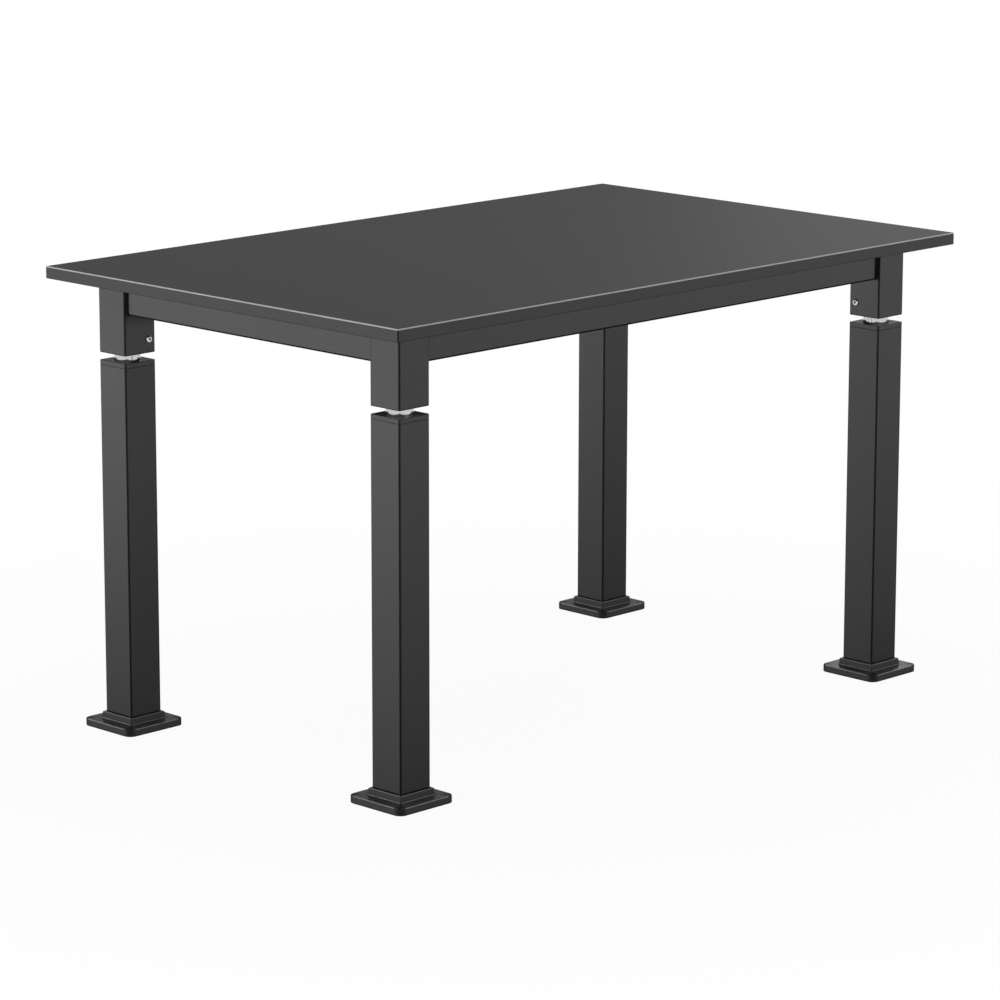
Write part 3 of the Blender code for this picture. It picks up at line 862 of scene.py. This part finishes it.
def post_block(corner, inward):
    """The casting in the socket: a pocket for the post, holes for the screws and an inlet on top."""
    node = f"post_block_{corner}"
    low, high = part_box(node)
    shoulder = high.z - INLET_HEIGHT
    ceiling = shoulder - BLOCK_LID
    pocket = POST_RADIUS + FIT
    outside = [
        (-PLUG_INSET - 2 * BLOCK_EDGE, low.z),
        (-PLUG_INSET, low.z, BLOCK_EDGE, PLAIN),
        (-PLUG_INSET, shoulder, BLOCK_EDGE, PLAIN),
        (-PLUG_INSET - 2 * BLOCK_EDGE, shoulder),
    ]
    inside = [
        (INLET_RADIUS + 2 * BLOCK_EDGE, shoulder),
        (INLET_RADIUS, shoulder, BLOCK_EDGE, PLAIN),
        (INLET_RADIUS, high.z, BLOCK_EDGE / 2, PLAIN),
        (INLET_BORE_RADIUS, high.z),
        (INLET_BORE_RADIUS, ceiling),
        (pocket, ceiling),
        (pocket, low.z),
    ]
    face = LEG_HALF - PLUG_INSET
    holes = []
    for way, along in ways(inward).items():
        spot = screw_axis(way, corner, along)
        start = spot + along * (face - SCREW_GRIP - FIT)
        holes.append(drill(SCREW_RADIUS + FIT, start, spot + along * (face + CUT_MARGIN)))
    bm = loft(swept(leg_ring, outside) + swept(bore_ring, inside), through=True)
    stand_for(node, moved(bm, Matrix.Translation(leg_axis(corner))), holes)


def corner_plate(corner, inward):
    """The gusset in the corner between two aprons, round the socket, with a hole for its screw."""
    node = f"corner_plate_{corner}"
    low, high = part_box(node)
    axis = leg_axis(corner)
    reach_x = sorted(inward[0] * (x - axis.x) for x in (low.x, high.x))
    reach_y = sorted(inward[1] * (y - axis.y) for y in (low.y, high.y))
    face = LEG_HALF + FIT
    corners = [
        (face, reach_y[0]),
        (reach_x[1], reach_y[0]),
        (reach_x[0], reach_y[1]),
        (reach_x[0], face),
        (face, face),
    ]
    outline = [Vector((inward[0] * x, inward[1] * y)) for x, y in corners]
    bm = loft([(outline, low.z, PLAIN), (outline, high.z, PLAIN)])
    bevelled(bm, upright_edges(bm), PLATE_CORNER, CORNER_STEPS, PLAIN)
    rims = level_edges(bm, low.z) + level_edges(bm, high.z)
    bevelled(bm, rims, PLATE_EDGE, BEVEL_SEGMENTS // 2, PLAIN)
    x, y = middle_of(f"top_screw_{corner}").xy
    hole = drill(TOP_SCREW_RADIUS + FIT, (x, y, low.z - CUT_MARGIN), (x, y, high.z + CUT_MARGIN))
    stand_for(node, moved(bm, Matrix.Translation(axis)), [hole])


def boot(corner):
    """The shoe: a square base, a bead and a tapered collar round a pocket for the leg."""
    bead_top = BOOT_BASE + BOOT_BEAD_HEIGHT
    top = BOOT_HIGH.z
    # Painted shade along the sole and by the floor, in the creases, at the seam with the leg and on the
    # corners; painted highlights on the base's top edge, the bead and the collar's rim
    base = [
        (0.0, 0.0),
        (BOOT_MARGIN, 0.0, BOOT_SOLE_ROUND, PAINTED_SHADE),
        *painted_shade_line(BOOT_MARGIN, 0.0),
        (BOOT_MARGIN, BOOT_BASE, BOOT_BASE_ROUND, PAINTED_HIGHLIGHT),
        (BOOT_BEAD_MARGIN + 2 * BOOT_BASE_ROUND, BOOT_BASE),
    ]
    collar = [
        (BOOT_BEAD_MARGIN + BOOT_BASE_ROUND, BOOT_BASE),
        (BOOT_BEAD_MARGIN, BOOT_BASE, BOOT_CREASE, PAINTED_SHADE),
        (BOOT_BEAD_MARGIN, bead_top, BOOT_BEAD_ROUND, PAINTED_HIGHLIGHT),
        (BOOT_COLLAR_FOOT, bead_top, BOOT_CREASE, PAINTED_SHADE),
        (BOOT_COLLAR_RIM, top, BOOT_COLLAR_ROUND, BOOT_COLLAR_HIGHLIGHT),
        (FIT, top, BOOT_SEAM, PAINTED_SHADE),
        (FIT, BOOT_FLOOR),
    ]
    rings = swept(partial(leg_ring, corner=BOOT_CORNER - BOOT_MARGIN), base)
    rings += swept(partial(leg_ring, corner=BOOT_COLLAR_CORNER - BOOT_BEAD_MARGIN), collar)
    bm = loft(rings, corner_shade=BOOT_CORNER_SHADE)
    stand_for(f"boot_{corner}", moved(bm, Matrix.Translation(leg_axis(corner))))


def button_screw(node, radius, head, direction, spot, reach):
    """A button-head screw: a shank, a domed head and a hexagon socket. The spot is under the head."""
    head_radius, head_height, crown_radius, key, key_depth = head
    stem = [
        (radius * SCREW_TIP_SHARE, -reach),
        (radius, -reach, radius * SCREW_TIP_ROUND_SHARE, PLAIN),
        (radius, 0.0),
        # Painted shade round the foot of the head
        (head_radius, 0.0, FIT, PAINTED_SHADE),
        (head_radius, SCREW_HEAD_RIM, 0.0, SCREW_RIM_SHADE),
    ]
    rings = swept(round_ring, stem)
    for step in range(1, DOME_STEPS + 1):
        angle = math.pi / 2 * step / DOME_STEPS
        dome = crown_radius + (head_radius - crown_radius) * math.cos(angle)
        height = SCREW_HEAD_RIM + (head_height - SCREW_HEAD_RIM) * math.sin(angle)
        rings.append((round_ring(dome), height, PLAIN))
    key_floor = head_height - key_depth
    # Painted shade at the floor of the hexagon socket
    socket = [
        (key + FIT, head_height),
        (key, head_height, FIT / 2, PLAIN),
        (key, key_floor, 0.0, PAINTED_SHADE),
        (key * KEY_POINT_SHARE, key_floor - key / KEY_TO_POINT_DEPTH, 0.0, PAINTED_SHADE),
    ]
    rings += swept(hexagon_ring, socket)
    stand_for(node, moved(loft(rings), Matrix.Translation(spot) @ aimed(direction)))


def socket_screws(corner, inward):
    """The two screws through a socket's inner faces into the block."""
    head = (SCREW_HEAD_RADIUS, SCREW_HEAD_HEIGHT, SCREW_CROWN_RADIUS, SCREW_KEY, SCREW_KEY_DEPTH)
    for way, direction in ways(inward).items():
        node = f"socket_screw_{way}_{corner}"
        low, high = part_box(node)
        length = abs((high - low).dot(direction))
        reach = length - SCREW_HEAD_HEIGHT
        spot = (low + high) / 2 + direction * (length / 2 - SCREW_HEAD_HEIGHT)
        button_screw(node, SCREW_RADIUS, head, direction, spot, reach)


def top_screw(corner):
    """The screw from below, through the corner plate into the top."""
    head = (
        TOP_SCREW_HEAD_RADIUS,
        TOP_SCREW_HEAD_HEIGHT,
        TOP_SCREW_CROWN_RADIUS,
        TOP_SCREW_KEY,
        TOP_SCREW_KEY_DEPTH,
    )
    node = f"top_screw_{corner}"
    low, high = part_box(node)
    x, y = ((low + high) / 2).xy
    seat = low.z + TOP_SCREW_HEAD_HEIGHT
    button_screw(node, TOP_SCREW_RADIUS, head, (0, 0, -1), (x, y, seat), high.z - seat)


def carried_over():
    """Gives the parts that stay as they are their finish."""
    for node, part in frame["nodes"].items():
        if not part.hide_render:
            part.data.materials.clear()
            part.data.materials.append(FINISHES[SLOT_OF[node]])


def seen_rays(tree):
    """1 for the rays of the camera, of mirrors and of glass, and 0 for all others."""
    rays = add(tree, "ShaderNodeLightPath").outputs
    seen = maths(tree, "MAXIMUM", rays["Is Camera Ray"], rays["Is Glossy Ray"])
    return maths(tree, "MAXIMUM", seen, rays["Is Transmission Ray"])


def floor():
    """A floor that camera, mirrors and glass see as white, with the table's shadow, clear from below."""
    bm = bmesh.new()
    bmesh.ops.create_grid(bm, x_segments=1, y_segments=1, size=FLOOR_REACH)
    ground = linked("floor", mesh_of(bm, "floor"))
    material, tree, shader, place = new_finish("pale_floor")
    seen = seen_rays(tree)
    pale = spread(tree, seen, FLOOR_BOUNCE, FLOOR_COLOUR)
    feed(tree, shader, Base_Color=pale, Roughness=1.0, Specular_IOR_Level=0.0)
    white = feed(tree, add(tree, "ShaderNodeEmission"), Color=WHITE, Strength=1.0)
    away = add(tree, "ShaderNodeVectorMath", operation="LENGTH")
    tree.links.new(place, away.inputs[0])
    fade = add(tree, "ShaderNodeMapRange", interpolation_type="SMOOTHSTEP")
    feed(tree, fade, Value=away.outputs["Value"], From_Min=FLOOR_FADE[0], From_Max=FLOOR_FADE[1])
    feed(tree, fade, To_Min=FLOOR_WHITE[0], To_Max=FLOOR_WHITE[1])
    whiteness = maths(tree, "MULTIPLY", seen, fade.outputs["Result"])
    from_above = mixed_shader(tree, whiteness, shader.outputs["BSDF"], white.outputs["Emission"])
    from_below = add(tree, "ShaderNodeBsdfTransparent").outputs["BSDF"]
    below = add(tree, "ShaderNodeNewGeometry").outputs["Backfacing"]
    surface = mixed_shader(tree, below, from_above, from_below)
    tree.links.new(surface, tree.nodes["Material Output"].inputs["Surface"])
    ground.data.materials.append(material)


def lamp(name, place, target, size, power):
    """A soft rectangular lamp."""
    light = bpy.data.lights.new(name, "AREA")
    light.shape = "RECTANGLE"
    light.size, light.size_y = size
    light.energy = power
    obj = linked(name, light)
    obj.location = place
    obj.rotation_mode = "QUATERNION"
    obj.rotation_quaternion = (Vector(target) - Vector(place)).to_track_quat("-Z", "Y")
    obj.visible_camera = False
    return obj


def side_lamp(name, way, lamp_height, power, card_height):
    """A long low lamp at one side of the table, and a low black card before it that shades the feet."""
    middle = Vector((0.0, 0.0, lamp_height / 2))
    strip = lamp(f"{name}_lamp", way + middle, middle, (SIDE_LAMP_WIDTH, lamp_height), power)
    strip.visible_glossy = False
    # A square metre, stretched to the card's size
    bm = bmesh.new()
    bmesh.ops.create_grid(bm, x_segments=1, y_segments=1, size=0.5)
    moved(bm, Matrix.Diagonal((CARD_WIDTH, card_height, 1.0, 1.0)))
    turn = way.to_track_quat("Z", "Y").to_matrix().to_4x4()
    moved(bm, Matrix.Translation(way * CARD_SHARE + Vector((0.0, 0.0, card_height / 2))) @ turn)
    card = linked(f"{name}_card", mesh_of(bm, f"{name}_card"))
    material, tree, shader = new_finish(f"{name}_card")[:3]
    feed(tree, shader, Base_Color=BLACK, Roughness=1.0, Specular_IOR_Level=0.0)
    card.data.materials.append(material)
    card.visible_camera = False
    card.visible_glossy = False


def light():
    """Wide lamps overhead and at the sides, small ones that glint in the caps, and a white studio."""
    lamp("overhead_lamp", **OVERHEAD)
    side_lamp("left", **LEFT)
    side_lamp("front", **FRONT)
    lamp("right_lamp", **RIGHT)
    lamp("left_kick", **LEFT_KICK)
    lamp("front_kick", **FRONT_KICK)
    world = bpy.data.worlds.new("studio")
    world.use_nodes = True
    tree = world.node_tree
    strength = spread(tree, seen_rays(tree), WORLD_GREY, 1.0)
    feed(tree, tree.nodes["Background"], Color=WHITE, Strength=strength)
    bpy.context.scene.world = world


def camera():
    """The photograph's camera."""
    data = bpy.data.cameras.new("photo_camera")
    data.sensor_width = CAMERA_SENSOR
    data.lens = CAMERA_LENS
    data.shift_x, data.shift_y = CAMERA_SHIFT
    data.clip_end = CAMERA_REACH
    obj = linked("photo_camera", data)
    obj.location = CAMERA_PLACE
    level = math.cos(CAMERA_DROP)
    ahead_x = -math.sin(CAMERA_AZIMUTH) * level
    ahead_y = math.cos(CAMERA_AZIMUTH) * level
    ahead = Vector((ahead_x, ahead_y, -math.sin(CAMERA_DROP)))
    obj.rotation_mode = "QUATERNION"
    obj.rotation_quaternion = ahead.to_track_quat("-Z", "Y")
    bpy.context.scene.camera = obj


def main():
    bpy.context.scene.view_settings.view_transform = "Standard"
    camera()
    floor()
    light()
    work_top()
    aprons()
    for corner, (sign_x, sign_y) in CORNERS.items():
        inward = (-sign_x, -sign_y)
        leg_socket(corner, inward)
        socket_screws(corner, inward)
        post_block(corner, inward)
        guide_post(corner)
        corner_plate(corner, inward)
        top_screw(corner)
        leg_tube(corner)
        guide_cap(corner)
        boot(corner)
    carried_over()


main()
